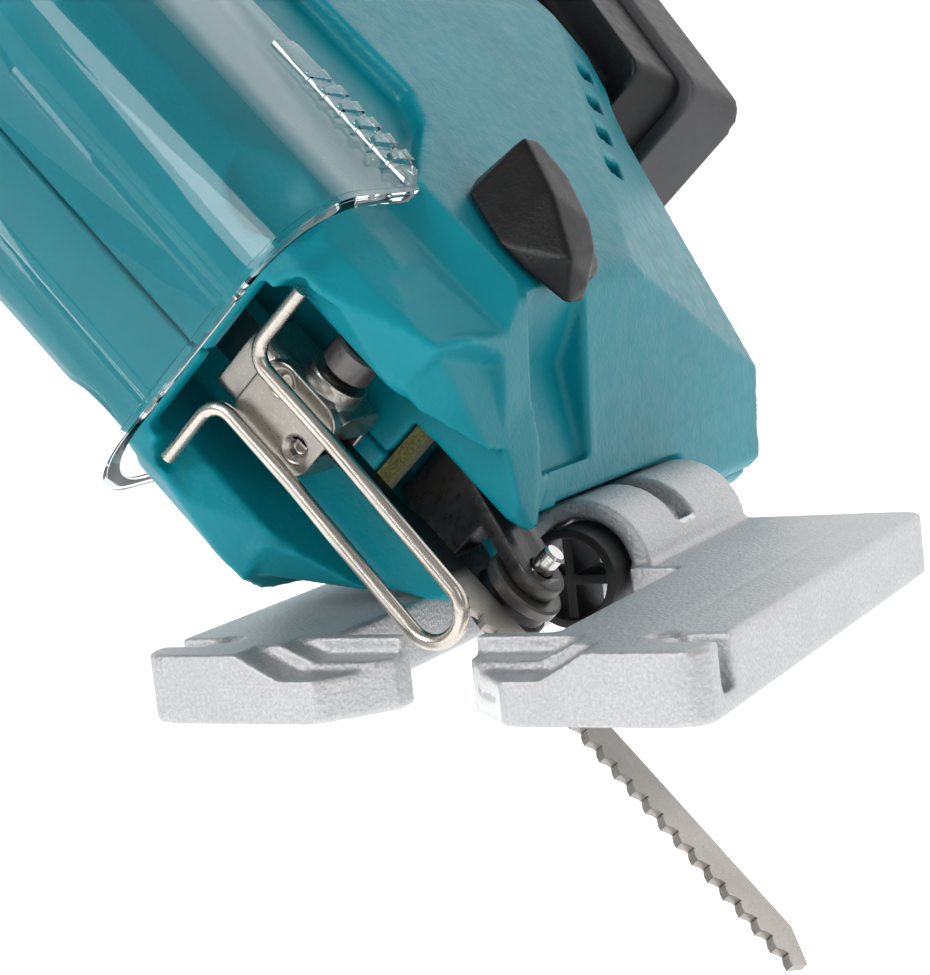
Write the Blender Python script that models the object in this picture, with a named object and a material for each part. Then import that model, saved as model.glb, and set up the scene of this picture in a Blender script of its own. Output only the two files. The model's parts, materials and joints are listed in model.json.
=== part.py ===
"""Cordless top-handle jigsaw: housing shells, drive train, blade, bevel base and slide-on battery.

Two frames hold the parts. The base frame has X across, Y backwards from the front edge, and Z up from
the sole. The tool frame is the base frame lifted to the bevel axis and leaned over by REST_BEVEL, so
its own X runs to the tool's left, Y backwards and Z up along the blade. Sizes below are millimetres.
"""

import math

import bmesh
import bpy
from mathutils import Matrix, Vector

MM = 0.001
GAP = 0.3

# Base plate
BASE_HALF_WIDTH = 38.0
BASE_LENGTH = 91.5
DECK = 8.8
PRONG_STEP = 6.1
SLOT_HALF = 5.2
SLOT_MOUTH_HALF = 12.7
SLOT_CHAMFER = 7.5
PRONG_DEPTH = 11.6
WINDOW_HALF = 15.0
REAR_WEB = 7.5
DRUM_RADIUS = 10.3
DRUM_BORE = 7.4
DRUM_FRONT = 52.7
BEVEL_HEIGHT = 8.1
REST_BEVEL = 40.5
ORIGIN_BACK = BASE_LENGTH - REAR_WEB / 2

# Body
FRONT = 13.5
HALF_WIDTH = 28.0
NOSE_HALF = 23.5
HANDLE_HALF = 16.5
TOP = 184.0
KEEL_END = 128.0
CHEEK_INNER = 6.5
CHEEK_FRONT = 33.0
CHEEK_BACK = 46.0
CHEEK_TIP = 4.0
SADDLE = DRUM_RADIUS + 0.5

# Drive
GEAR_TEETH = 40
PINION_TEETH = 10
MODULE = 1.0
GEAR_HEIGHT = 82.0
MOTOR_HEIGHT = GEAR_HEIGHT - MODULE * (GEAR_TEETH + PINION_TEETH) / 2
STROKE = 18.0
CRANK = STROKE / 2
GEAR_FRONT = 44.0
GEAR_BACK = 52.0
MOTOR_RADIUS = 18.0
MOTOR_FRONT = 60.0
MOTOR_BACK = 108.0
HOLDER_PIVOT = (0.0, 31.0, 108.0)

# Blade
BLADE_FRONT = 20.5
BLADE_BACK = 27.0
BLADE_THICK = 1.2
BLADE_TOP = 41.0
BLADE_TIP = -58.0
TOOTH_PITCH = 2.8
TOOTH_DEPTH = 1.3

# Retainer
ROLLER = (0.0, 33.2, 1.2)
ROLLER_RADIUS = 5.6
FORK_PIVOT = (0.0, 42.0, 20.5)

# Bevel clamp, lever, battery
CLAMP_BOLT_BACK = 70.0
LEVER = (28.0, 53.0, 37.0)
PACK_LEAN = 25.0
PACK_CORNER = (174.0, 57.0)
PACK_HALF = 31.5
PACK_LENGTH = 92.0
PACK_BASE = 14.0
PACK_INNER_HALF = 29.6
PACK_INNER = 27.0
RAIL_FACE = 34.4
CELL_RADIUS = 9.1

TEAL = (0.0, 0.27, 0.34)
BLACK = (0.012, 0.012, 0.013)
DARK = (0.07, 0.068, 0.072)
CAST = (0.62, 0.62, 0.63)
STEEL = (0.55, 0.53, 0.5)
CLEAR = (0.9, 0.95, 0.96)
COPPER = (0.6, 0.28, 0.14)
FELT = (0.55, 0.5, 0.12)


def clear_scene():
    for obj in list(bpy.data.objects):
        bpy.data.objects.remove(obj, do_unlink=True)


def make_material(name, color, roughness, metallic=0.0, alpha=1.0):
    material = bpy.data.materials.get(name)
    if material:
        return material
    material = bpy.data.materials.new(name)
    material.use_nodes = True
    shader = material.node_tree.nodes["Principled BSDF"]
    shader.inputs["Base Color"].default_value = (*color, 1.0)
    shader.inputs["Roughness"].default_value = roughness
    shader.inputs["Metallic"].default_value = metallic
    shader.inputs["Alpha"].default_value = alpha
    return material


FINISHES = {
    "teal_plastic": (TEAL, 0.45, 0.0),
    "black_plastic": (BLACK, 0.5, 0.0),
    "grey_plastic": (DARK, 0.55, 0.0),
    "grip_rubber": ((0.02, 0.02, 0.021), 0.8, 0.0),
    "cast_aluminium": (CAST, 0.45, 1.0),
    "bright_steel": (STEEL, 0.25, 1.0),
    "black_steel": ((0.03, 0.03, 0.032), 0.35, 0.6),
    "copper": (COPPER, 0.4, 1.0),
    "felt": (FELT, 0.95, 0.0),
    "board": ((0.02, 0.15, 0.06), 0.5, 0.0),
}


def finish(name):
    if name == "clear_plastic":
        return make_material(name, CLEAR, 0.08, alpha=0.25)
    color, roughness, metallic = FINISHES[name]
    return make_material(name, color, roughness, metallic)


def add_empty(name, location, tilt=0.0):
    empty = bpy.data.objects.new(name, None)
    empty.location = Vector(location) * MM
    empty.rotation_euler = (0.0, math.radians(tilt), 0.0)
    bpy.context.scene.collection.objects.link(empty)
    return empty


def add_object(name, bm, parent, material=None, origin=(0, 0, 0)):
    """Makes an object from a bmesh in the parent's millimetres, with its own origin where asked."""
    bmesh.ops.recalc_face_normals(bm, faces=bm.faces)
    bmesh.ops.translate(bm, verts=bm.verts, vec=-Vector(origin))
    bmesh.ops.scale(bm, verts=bm.verts, vec=(MM, MM, MM))
    mesh = bpy.data.meshes.new(name)
    bm.to_mesh(mesh)
    bm.free()
    obj = bpy.data.objects.new(name, mesh)
    obj.parent = parent
    obj.location = Vector(origin) * MM
    bpy.context.scene.collection.objects.link(obj)
    if material:
        mesh.materials.append(finish(material))
    return obj


PLANES = {"x": (1, 2, 0), "y": (0, 2, 1), "z": (0, 1, 2)}


def add_prism(bm, outline, axis, low, high):
    """Extrudes a closed outline along an axis. The outline's two values follow X, Y, Z order."""
    first, second, along = PLANES[axis]
    rings = []
    for level in (low, high):
        ring = []
        for point in outline:
            place = [0.0, 0.0, 0.0]
            place[first], place[second], place[along] = point[0], point[1], level
            ring.append(bm.verts.new(place))
        rings.append(ring)
    bm.faces.new(rings[0])
    bm.faces.new(rings[1])
    count = len(outline)
    for index in range(count):
        after = (index + 1) % count
        bm.faces.new((rings[0][index], rings[0][after], rings[1][after], rings[1][index]))
    return bm


def prism(outline, axis, low, high):
    return add_prism(bmesh.new(), outline, axis, low, high)


def block(low, high):
    corners = [(low[0], low[1]), (high[0], low[1]), (high[0], high[1]), (low[0], high[1])]
    return prism(corners, "z", low[2], high[2])


def turned(profile, axis, centre, segments=24):
    """Spins a closed profile of (radius, distance along the axis) about an axis through a centre."""
    bm = bmesh.new()
    rings = []
    first, second, along = PLANES[axis]
    for radius, level in profile:
        ring = []
        for step in range(segments if radius > 0 else 1):
            angle = 2 * math.pi * step / segments
            place = list(centre)
            place[first] += radius * math.cos(angle)
            place[second] += radius * math.sin(angle)
            place[along] = level
            ring.append(bm.verts.new(place))
        rings.append(ring)
    for index, ring in enumerate(rings):
        other = rings[(index + 1) % len(rings)]
        if len(ring) == 1 and len(other) == 1:
            continue
        for step in range(segments):
            after = (step + 1) % segments
            corners = [ring[step % len(ring)], ring[after % len(ring)]]
            corners += [other[after % len(other)], other[step % len(other)]]
            unique = list(dict.fromkeys(corners))
            bm.faces.new(unique)
    return bm


def rod(radius, axis, centre, low, high, segments=24):
    return turned([(0, low), (radius, low), (radius, high), (0, high)], axis, centre, segments)


def tube(outer, inner, axis, centre, low, high, segments=24):
    return turned([(inner, low), (outer, low), (outer, high), (inner, high)], axis, centre, segments)


def arc_points(centre, radius, start, end, steps):
    points = []
    for step in range(steps + 1):
        angle = math.radians(start + (end - start) * step / steps)
        points.append((centre[0] + radius * math.cos(angle), centre[1] + radius * math.sin(angle)))
    return points


def rounded(low, high, radius, steps=3):
    """Outline of a rectangle with round corners."""
    points = []
    corners = ((high[0] - radius, high[1] - radius, 0), (low[0] + radius, high[1] - radius, 90),
               (low[0] + radius, low[1] + radius, 180), (high[0] - radius, low[1] + radius, 270))
    for x, y, start in corners:
        points += arc_points((x, y), radius, start, start + 90, steps)
    return points


def boolean(target, bm, operation, name="cutter"):
    """Cuts, joins or trims a piece with a hidden helper made in the same frame."""
    helper = add_object(f"{target.name}_{name}", bm, target.parent)
    helper.hide_render = True
    helper.display_type = "WIRE"
    modifier = target.modifiers.new(name, "BOOLEAN")
    modifier.operation = operation
    modifier.solver = "EXACT"
    modifier.object = helper


def cut(target, *shapes):
    for number, bm in enumerate(shapes):
        boolean(target, bm, "DIFFERENCE", f"cut{len(target.modifiers)}_{number}")


def unite(target, *shapes):
    for number, bm in enumerate(shapes):
        boolean(target, bm, "UNION", f"add{len(target.modifiers)}_{number}")


def trim(target, *shapes):
    for number, bm in enumerate(shapes):
        boolean(target, bm, "INTERSECT", f"trim{len(target.modifiers)}_{number}")


def bevel(obj, width, segments=1, angle=35):
    modifier = obj.modifiers.new("edges", "BEVEL")
    modifier.width = width * MM
    modifier.segments = segments
    modifier.limit_method = "ANGLE"
    modifier.angle_limit = math.radians(angle)


def smooth(obj, angle=30):
    obj.data.shade_smooth()
    obj.data.set_sharp_from_angle(angle=math.radians(angle))


def piece(name, bm, parent, material, origin=(0, 0, 0)):
    obj = add_object(name, bm, parent, material, origin)
    smooth(obj)
    return obj


def mirrored(half):
    """Closes a right-hand half outline, listed from its first to its last point, with its mirror image."""
    return list(half) + [(-x, y) for x, y in reversed(half) if x > 0]


# --- Housing -------------------------------------------------------------------------------------

def side_profile():
    """Silhouette seen from the side, as (back, up) points."""
    nose = [(FRONT, 46), (FRONT, 104), (17, 124), (24, 148), (34, 169), (47, 180), (62, TOP)]
    handle_top = [(118, TOP), (137, 181), (150, 173), (158, 160), (161, 146)]
    rear = [(161, 112), (137, 60), (132, 30), (KEEL_END, 4)]
    keel = [(BASE_LENGTH + 1.5, 4), (BASE_LENGTH + 1.5, 6), (CHEEK_BACK, 6), (CHEEK_BACK, CHEEK_TIP)]
    cheek = [(CHEEK_FRONT + 4, CHEEK_TIP), (CHEEK_FRONT, CHEEK_TIP + 4), (CHEEK_FRONT, 22), (18, 23)]
    return nose + handle_top + rear + keel + cheek


def front_profile():
    """Silhouette seen from the front: 45 degree flanks, so the base can lean both ways."""
    half = [(3.0, 3.6), (7.5, 9.1), (27.0, 28.6), (HALF_WIDTH, 32), (HALF_WIDTH, 88), (23, 101)]
    half += [(HANDLE_HALF + 1, 112), (HANDLE_HALF, 116), (HANDLE_HALF, 174), (13, 181), (8, TOP)]
    return mirrored(half)


def plan_profile():
    half = [(14, FRONT), (20, 17), (NOSE_HALF, 25), (NOSE_HALF, 48), (HALF_WIDTH, 54)]
    half += [(HALF_WIDTH, 140), (20, 162)]
    return mirrored(half)


def rear_facet(side):
    """Wedge beyond the plane where the body narrows behind the motor, on one side."""
    normal = Vector((side * 3.0, 1.0, -1.1)).normalized()
    point = Vector((side * HALF_WIDTH, 86.0, 32.0))
    bm = block((-150, -150, 0), (150, 150, 300))
    turn = Vector((0, 0, 1)).rotation_difference(normal).to_matrix().to_4x4()
    bmesh.ops.transform(bm, matrix=Matrix.Translation(point) @ turn, verts=bm.verts)
    return bm


def finger_hole():
    return prism(rounded((60, 110), (134, 150), 11), "x", -40, 40)


def drive_cavities():
    gear_room = rod(23.0, "y", (0, 0, GEAR_HEIGHT), 36.0, 58.5, 32)
    pinion_room = rod(7.0, "y", (0, 0, MOTOR_HEIGHT), 37.5, 54.0, 24)
    motor_room = rod(MOTOR_RADIUS + 1.2, "y", (0, 0, MOTOR_HEIGHT), 52.0, 122.0, 32)
    slider_room = block((-13.5, 16.4, -10), (13.5, 33.0, 74))
    slider_shaft = block((-13.7, 18.6, 60), (13.7, 37.0, 122))
    mouth = block((-13.6, 0, -10), (13.6, 18.8, 49))
    fork_room = block((-CHEEK_INNER, 30, -10), (CHEEK_INNER, 47.5, 27))
    switch_room = block((-11.5, 66, 152), (11.5, 138, 176))
    return [gear_room, pinion_room, motor_room, slider_room, slider_shaft, mouth, fork_room, switch_room]


def housing_shell(name, side, frame):
    near, far = sorted((side * GAP / 2, side * 60.0))
    shell = piece(name, prism(side_profile(), "x", near, far), frame, "teal_plastic")
    trim(shell, prism(front_profile(), "y", -10, 200), prism(plan_profile(), "z", -20, 220))
    cut(shell, rear_facet(1), rear_facet(-1), finger_hole())
    cut(shell, rod(SADDLE, "y", (0, 0, 0), CHEEK_BACK + 1, BASE_LENGTH + 1.6, 32))
    cut(shell, *drive_cavities())
    return shell


SCREWS = ((64, 84), (112, 84), (58, 36))


def housing_details(left, right):
    """Sockets, windows and clearances of the shells."""
    for side, shell in ((1, left), (-1, right)):
        cut(shell, rod(1.4, "x", (0, 15.6, 44.5), *sorted((side * 8, side * 17)), 16))
        cut(shell, rod(3.2, "z", (0, CLAMP_BOLT_BACK, 0), 5, 24, 20))
        cut(shell, block((-8.4, 66.0, 140), (8.4, 88.0, 161)))
        cut(shell, rod(4.5, "x", (0, 72, 166), -30, 30, 20))
        for row in range(4):
            low = 49.8 + 7.6 * row
            back = 103.5 + 8.9 * row
            slot = [(back, low), (back + 8.5, low - 0.6), (back + 12, low + 3.4), (back + 4.6, low + 4.2)]
            cut(shell, prism(slot, "x", *sorted((side * 14, side * 40))))
    cut(left, rod(4.6, "x", LEVER, 18, 40, 20))
    for back, up in SCREWS:
        cut(right, rod(3.8, "x", (0, back, up), -40, -HALF_WIDTH + 2.6, 16))


def make_housing(frame):
    left = housing_shell("housing_left", 1, frame)
    right = housing_shell("housing_right", -1, frame)
    housing_details(left, right)
    for number, (back, up) in enumerate(SCREWS, 1):
        profile = [(0, -25.8), (3.4, -25.8), (3.4, -27.8), (2.6, -28.2), (0, -28.2)]
        head = turned(profile, "x", (0, back, up), 16)
        piece(f"housing_screw_{number}", head, frame, "black_steel")
    outer = [(HANDLE_HALF + 2.6, 160), (HANDLE_HALF + 2.6, 175), (14.8, 183), (8.6, TOP + 2.6)]
    inner = [(8.2, TOP + 0.4), (13.6, 181.6), (HANDLE_HALF + 0.4, 174), (HANDLE_HALF + 0.4, 160)]
    ring = outer + [(-x, y) for x, y in reversed(outer)] + [(-x, y) for x, y in reversed(inner)] + inner
    grip = piece("grip_pad", prism(ring, "y", 64, 116), frame, "grip_rubber")
    cut(grip, rod(4.6, "x", (0, 72, 166), -30, 30, 20))


# --- Dust cover and wire guard ---------------------------------------------------------------------

COVER_FRONT = 9.3
COVER_HALF = 27.0
COVER_WALL = 1.6
COVER_LOW = 48.5
COVER_HIGH = 110.0
COVER_BACK = 43.0


def cover_half_outline(inset):
    half = COVER_HALF - inset
    front = COVER_FRONT + inset
    return [(half, COVER_BACK)] + arc_points((half - 13, front + 13), 13, 0, -90, 5)


def make_dust_cover(frame):
    outer = cover_half_outline(0)
    inner = cover_half_outline(COVER_WALL)
    outline = outer + [(-x, y) for x, y in reversed(outer)] + [(-x, y) for x, y in inner]
    outline += list(reversed(inner))
    cover = piece("dust_cover", prism(outline, "z", COVER_LOW, COVER_HIGH), frame, "clear_plastic",
                  (0, COVER_FRONT, COVER_LOW))
    for side in (1, -1):
        for step in range(5):
            low = COVER_LOW + 6 + 3.3 * step
            rib = prism([(36, low), (42, low), (42, low + 1.8), (36, low + 1.0)], "x",
                        *sorted((side * (COVER_HALF - 0.5), side * (COVER_HALF + 1.4))))
            unite(cover, rib)


GUARD_HALF = 4.1
GUARD_BACK = 15.5
GUARD_TOP = 44.5
GUARD_ROD = 1.0
GUARD_BEND = 3.2
GUARD_LEAN_START = 29.0
GUARD_LEAN = 0.07


def guard_route():
    """Centre line of the wire, from one socket down round the loop to the other."""
    bend = (GUARD_HALF + GUARD_BEND, GUARD_TOP - GUARD_BEND)
    right = [(15.5, GUARD_TOP)] + arc_points(bend, GUARD_BEND, 90, 180, 5)
    right.append((GUARD_HALF, GUARD_LEAN_START))
    loop = arc_points((0, GUARD_HALF), GUARD_HALF, 0, -180, 10)
    return right + loop + [(-x, z) for x, z in reversed(right)]


def add_wire(name, points, radius, parent, material, sides=2):
    curve = bpy.data.curves.new(name, "CURVE")
    curve.dimensions = "3D"
    curve.bevel_depth = radius * MM
    curve.bevel_resolution = sides
    curve.use_fill_caps = True
    spline = curve.splines.new("POLY")
    spline.points.add(len(points) - 1)
    for point, place in zip(spline.points, points):
        point.co = (*(Vector(place) * MM), 1.0)
    obj = bpy.data.objects.new(name, curve)
    obj.parent = parent
    curve.materials.append(finish(material))
    bpy.context.scene.collection.objects.link(obj)


def make_wire_guard(frame):
    points = [(x, GUARD_BACK - GUARD_LEAN * max(0.0, GUARD_LEAN_START - z), z) for x, z in guard_route()]
    add_wire("wire_guard", points, GUARD_ROD, frame, "bright_steel")


# --- Drive train -----------------------------------------------------------------------------------

def toothed(teeth, low, high, bore, centre):
    """Spur gear with stub teeth, one tooth centred on the +X side."""
    pitch_angle = 2 * math.pi / teeth
    tip = MODULE * (teeth / 2 + 0.5)
    root = MODULE * (teeth / 2 - 0.9)
    outline = []
    for tooth in range(teeth):
        middle = tooth * pitch_angle
        for share, radius in ((-0.27, root), (-0.12, tip), (0.12, tip), (0.27, root)):
            angle = middle + share * pitch_angle
            outline.append((radius * math.cos(angle), centre[2] + radius * math.sin(angle)))
    return prism(outline, "y", low, high), rod(bore, "y", centre, low - 1, high + 1, 20)


def make_drive(frame):
    gear_centre = (0, 0, GEAR_HEIGHT)
    motor_centre = (0, 0, MOTOR_HEIGHT)
    gear_body, gear_bore = toothed(GEAR_TEETH, GEAR_FRONT, GEAR_BACK, 2.7, gear_centre)
    gear = piece("crank_gear", gear_body, frame, "bright_steel", gear_centre)
    cut(gear, gear_bore)
    piece("gear_shaft", rod(2.5, "y", gear_centre, 40.5, 56.8, 20), frame, "bright_steel")
    piece("gear_bearing", tube(7.0, 2.7, "y", gear_centre, 52.4, 56.8, 20), frame, "bright_steel")
    piece("bearing_plate", rod(22.6, "y", gear_centre, 57.1, 58.2, 28), frame, "cast_aluminium")
    pin_centre = (0, 0, GEAR_HEIGHT - CRANK)
    piece("crank_pin", rod(2.2, "y", pin_centre, 36.4, GEAR_FRONT - 0.3, 20), frame, "bright_steel",
          gear_centre)
    pinion_body, pinion_bore = toothed(PINION_TEETH, GEAR_FRONT, GEAR_BACK, 1.75, motor_centre)
    pinion = piece("motor_pinion", pinion_body, frame, "bright_steel", motor_centre)
    cut(pinion, pinion_bore)
    piece("motor_shaft", rod(1.6, "y", motor_centre, 43, 119, 16), frame, "bright_steel", motor_centre)
    piece("motor_armature", tube(11.5, 1.75, "y", motor_centre, 66, 102, 24), frame, "copper",
          motor_centre)
    piece("motor_can", tube(MOTOR_RADIUS, 13.2, "y", motor_centre, MOTOR_FRONT, MOTOR_BACK, 32), frame,
          "black_steel")
    piece("motor_end_bell", tube(MOTOR_RADIUS - 0.5, 1.9, "y", motor_centre, MOTOR_BACK + 0.3, 110.5, 28),
          frame, "black_plastic")
    piece("motor_bearing", tube(5.0, 1.75, "y", motor_centre, 53.0, 56.6, 20), frame, "bright_steel")
    make_fan(frame, motor_centre)


def make_fan(frame, centre):
    fan = piece("cooling_fan", tube(4.5, 1.75, "y", centre, 112, 118, 20), frame, "black_plastic", centre)
    for blade in range(6):
        vane = block((3.8, 112.6, -0.7), (15.5, 117.4, 0.7))
        turn = Matrix.Rotation(blade * math.pi / 3, 4, "Y")
        bmesh.ops.transform(vane, matrix=Matrix.Translation(centre) @ turn, verts=vane.verts)
        unite(fan, vane)


def make_slider(frame):
    piece("slider_rod", block((-3.5, 24, 48.3), (3.5, 28, 98)), frame, "bright_steel")
    yoke = piece("slider_yoke", block((-12.5, 28.3, 67), (12.5, 35.6, 79)), frame, "bright_steel")
    cut(yoke, block((-10.5, 20, 70.5), (10.5, 40, 75.5)))
    holder = piece("slider_holder", block((-8, 19.5, 66.6), (8, 22.5, 111)), frame, "cast_aluminium",
                   HOLDER_PIVOT)
    unite(holder, block((-8, 20, 66.9), (8, 28.2, 72)), block((-8, 20, 104), (8, 34.5, 110.5)))
    cut(holder, block((-3.8, 23.7, 50), (3.8, 29, 115)), rod(1.8, "x", HOLDER_PIVOT, -20, 20, 16))
    piece("holder_pin", rod(1.5, "x", HOLDER_PIVOT, -13.2, 13.2, 16), frame, "bright_steel")


# --- Blade, clamp and retainer ---------------------------------------------------------------------

CLAMP_BOLT = (0.0, 23.5, 36.0)


def blade_outline():
    """Teeth along the front edge, a slanted tip, and a shank with two lugs."""
    points = []
    tooth_count = int((14 - BLADE_TIP) / TOOTH_PITCH)
    for tooth in range(tooth_count):
        low = BLADE_TIP + 1.2 + tooth * TOOTH_PITCH
        points.append((BLADE_FRONT, low))
        points.append((BLADE_FRONT + TOOTH_DEPTH, low + 0.5))
    shank_front = BLADE_FRONT + 1.0
    shank_back = BLADE_BACK - 1.0
    points += [(shank_front, 16), (shank_front, 32), (18.6, 33), (18.6, 37), (shank_front, 38)]
    points += [(shank_front, BLADE_TOP), (shank_back, BLADE_TOP), (shank_back, 38), (28.9, 37)]
    points += [(28.9, 33), (shank_back, 32), (shank_back, 18), (BLADE_BACK, 16)]
    points += [(BLADE_BACK, BLADE_TIP + 4.5), (BLADE_FRONT + 3.0, BLADE_TIP)]
    return points


def make_blade(frame):
    piece("saw_blade", prism(blade_outline(), "x", -BLADE_THICK / 2, BLADE_THICK / 2), frame,
          "bright_steel")
    clamp = piece("blade_clamp", block((-6, 17.8, 29.5), (6, 30.2, 47.9)), frame, "bright_steel")
    bevel(clamp, 1.5, 2)
    unite(clamp, rod(4.6, "x", CLAMP_BOLT, 4, 8.2, 20))
    cut(clamp, block((-1.1, 18.3, 20), (1.1, 29.3, 41.6)))
    cut(clamp, rod(2.3, "x", CLAMP_BOLT, 0.5, 12, 16))
    bolt = [(0, 1.2), (2.0, 1.2), (2.0, 8.6), (3.6, 8.6), (3.6, 12.6), (1.6, 12.6), (1.6, 10.4), (0, 10.4)]
    piece("clamp_bolt", turned(bolt, "x", CLAMP_BOLT, 20), frame, "black_steel", CLAMP_BOLT)


def capsule(start, end, start_radius, end_radius):
    angle = math.degrees(math.atan2(end[1] - start[1], end[0] - start[0]))
    far = arc_points(end, end_radius, angle - 90, angle + 90, 8)
    near = arc_points(start, start_radius, angle + 90, angle + 270, 8)
    return far + near


def make_retainer(frame):
    pivot = FORK_PIVOT[1:]
    wheel = ROLLER[1:]
    fork = piece("retainer_fork", prism(capsule(pivot, wheel, 4.2, 4.0), "x", -5.4, 5.4), frame,
                 "black_steel", FORK_PIVOT)
    cut(fork, block((-3.0, 20, -20), (3.0, 60, 11)))
    cut(fork, rod(1.75, "x", FORK_PIVOT, -9, 9, 16), rod(1.75, "x", ROLLER, -9, 9, 16))
    piece("fork_pin", rod(1.5, "x", FORK_PIVOT, -6.3, 6.3, 16), frame, "bright_steel")
    groove = [(1.9, -2.7), (ROLLER_RADIUS, -2.7), (ROLLER_RADIUS, -1.0), (ROLLER_RADIUS - 0.5, -0.8)]
    profile = groove + [(radius, -level) for radius, level in reversed(groove)]
    piece("guide_roller", turned(profile, "x", ROLLER, 28), frame, "bright_steel", ROLLER)
    piece("roller_pin", rod(1.55, "x", ROLLER, -6.5, 8.5, 16), frame, "bright_steel")
    piece("felt_seal", block((-6.2, 33.5, 24.4), (6.2, 37, 26.6)), frame, "felt")


# --- Handle controls -------------------------------------------------------------------------------

def make_controls(frame):
    trigger_shape = [(68, 153.5), (68, 146), (72, 142.5), (80, 144), (86, 147), (86, 153.5)]
    trigger = piece("trigger", prism(trigger_shape, "x", -7, 7), frame, "black_plastic")
    bevel(trigger, 1.2, 2)
    piece("lock_off_button", rod(4.0, "x", (0, 72, 166), -20, 20, 20), frame, "black_plastic")
    piece("switch_body", block((-10, 92, 154), (10, 118, 174)), frame, "black_plastic")
    piece("controller_board", block((-9, 122, 157), (9, 136, 158.6)), frame, "board")
    knob = piece("orbital_knob", rod(10.5, "x", LEVER, HALF_WIDTH + 0.4, HALF_WIDTH + 4, 28), frame,
                 "black_plastic", LEVER)
    ridge = prism(capsule((LEVER[1] - 4.5, LEVER[2] - 8.5), (LEVER[1] + 0.5, LEVER[2] + 7.5), 4.0, 4.0), "x",
                  HALF_WIDTH + 3, HALF_WIDTH + 10.5)
    unite(knob, ridge)
    piece("lever_shaft", rod(4.2, "x", LEVER, 21, HALF_WIDTH + 0.1, 20), frame, "bright_steel", LEVER)


# --- Battery pack ----------------------------------------------------------------------------------

def make_battery(frame, pack):
    outer_slab = rounded((-PACK_HALF, 0), (PACK_HALF, PACK_LENGTH), 5)
    case = piece("battery_case_rear", prism(outer_slab, "y", -PACK_BASE, 0), pack, "grey_plastic")
    bevel(case, 1.5, 2)
    cut(case, block((-28.2, -30, 10), (28.2, -4.3, 82)))
    cut(case, block((-10, -3.8, 74), (10, 5, 89)))
    inner = rounded((-PACK_INNER_HALF, 3), (PACK_INNER_HALF, PACK_LENGTH - 3), 4)
    front = piece("battery_case_front", prism(inner, "y", -PACK_INNER, -PACK_BASE - 0.3), pack,
                  "grey_plastic")
    for side in (1, -1):
        unite(front, block((min(side * 14, side * 22), -RAIL_FACE, 8),
                           (max(side * 14, side * 22), -PACK_INNER + 1, 80)))
    cut(front, block((-28.2, -24, 10), (28.2, -10, 82)))
    for number, across in enumerate((-18.6, 0, 18.6), 1):
        piece(f"battery_cell_{number}", rod(CELL_RADIUS, "z", (across, -14.1, 0), 13, 78, 20), pack,
              "board")
    piece("battery_button", block((-9.5, -1.6, 74.5), (9.5, 1.6, 88.5)), pack, "black_plastic")
    piece("terminal_block", block((-11, -34.4, 20), (11, -28, 50)), pack, "black_plastic")


# --- Base ------------------------------------------------------------------------------------------

def base_front_slot():
    half = [(SLOT_MOUTH_HALF, -2), (SLOT_MOUTH_HALF, 0)]
    half += [(SLOT_HALF, SLOT_CHAMFER), (SLOT_HALF, PRONG_DEPTH + 1)]
    return prism(mirrored(half), "z", -5, 20)


def make_base(frame):
    deck = rounded((-BASE_HALF_WIDTH, 0), (BASE_HALF_WIDTH, BASE_LENGTH), 3.5)
    base = piece("base_plate", prism(deck, "z", 0, DECK), frame, "cast_aluminium",
                 (0, 0, BEVEL_HEIGHT))
    bevel(base, 1.2, 2)
    axis = (0, 0, BEVEL_HEIGHT)
    unite(base, rod(DRUM_RADIUS, "y", axis, DRUM_FRONT, BASE_LENGTH - 0.4, 36))
    trim(base, block((-60, -20, 0), (60, 120, 40)))
    cut(base, base_front_slot(), block((-WINDOW_HALF, PRONG_DEPTH, -5), (WINDOW_HALF, DRUM_FRONT - 1, 30)))
    half_step = [(17, PRONG_STEP), (24, DECK + 0.1), (24, DECK + 2)]
    cut(base, prism(mirrored(half_step), "y", -5, PRONG_DEPTH - 2))
    inside_end = BASE_LENGTH - REAR_WEB
    cut(base, rod(DRUM_BORE, "y", axis, 40, inside_end, 32))
    cut(base, block((-DRUM_BORE, 40, -5), (DRUM_BORE, inside_end - 0.1, BEVEL_HEIGHT)))
    arc = [(0, BEVEL_HEIGHT)] + arc_points((0, BEVEL_HEIGHT), 14, 26, 154, 12)
    cut(base, prism(arc, "y", CLAMP_BOLT_BACK - 3.2, CLAMP_BOLT_BACK + 3.2))
    piece("dust_nozzle", tube(7.0, 5.7, "y", axis, 48, 58, 28), frame, "black_plastic")


def make_bevel_clamp(frame):
    arch = arc_points((0, 0), 7.0, 58, 122, 8) + arc_points((0, 0), 5.6, 122, 58, 8)
    plate = piece("bevel_clamp_plate", prism(arch, "y", 61, 79), frame, "bright_steel")
    cut(plate, rod(2.8, "z", (0, CLAMP_BOLT_BACK, 0), 2, 10, 16))
    bolt = [(0, -1.2), (3.8, -1.2), (3.8, 3.2), (2.4, 3.2), (2.4, 22), (0, 22)]
    piece("bevel_clamp_bolt", turned(bolt, "z", (0, CLAMP_BOLT_BACK, 0), 20), frame, "black_steel")


def main():
    clear_scene()
    base_frame = add_empty("base_frame", (0, -ORIGIN_BACK, 0))
    tool_frame = add_empty("tool_frame", (0, -ORIGIN_BACK, BEVEL_HEIGHT), -REST_BEVEL)
    pack_frame = add_empty("pack_frame", (0, PACK_CORNER[0], PACK_CORNER[1]))
    pack_frame.parent = tool_frame
    pack_frame.rotation_euler = (math.radians(-PACK_LEAN), 0.0, 0.0)
    make_housing(tool_frame)
    make_dust_cover(tool_frame)
    make_wire_guard(tool_frame)
    make_drive(tool_frame)
    make_slider(tool_frame)
    make_blade(tool_frame)
    make_retainer(tool_frame)
    make_controls(tool_frame)
    make_battery(tool_frame, pack_frame)
    make_base(base_frame)
    make_bevel_clamp(tool_frame)


main()
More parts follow.
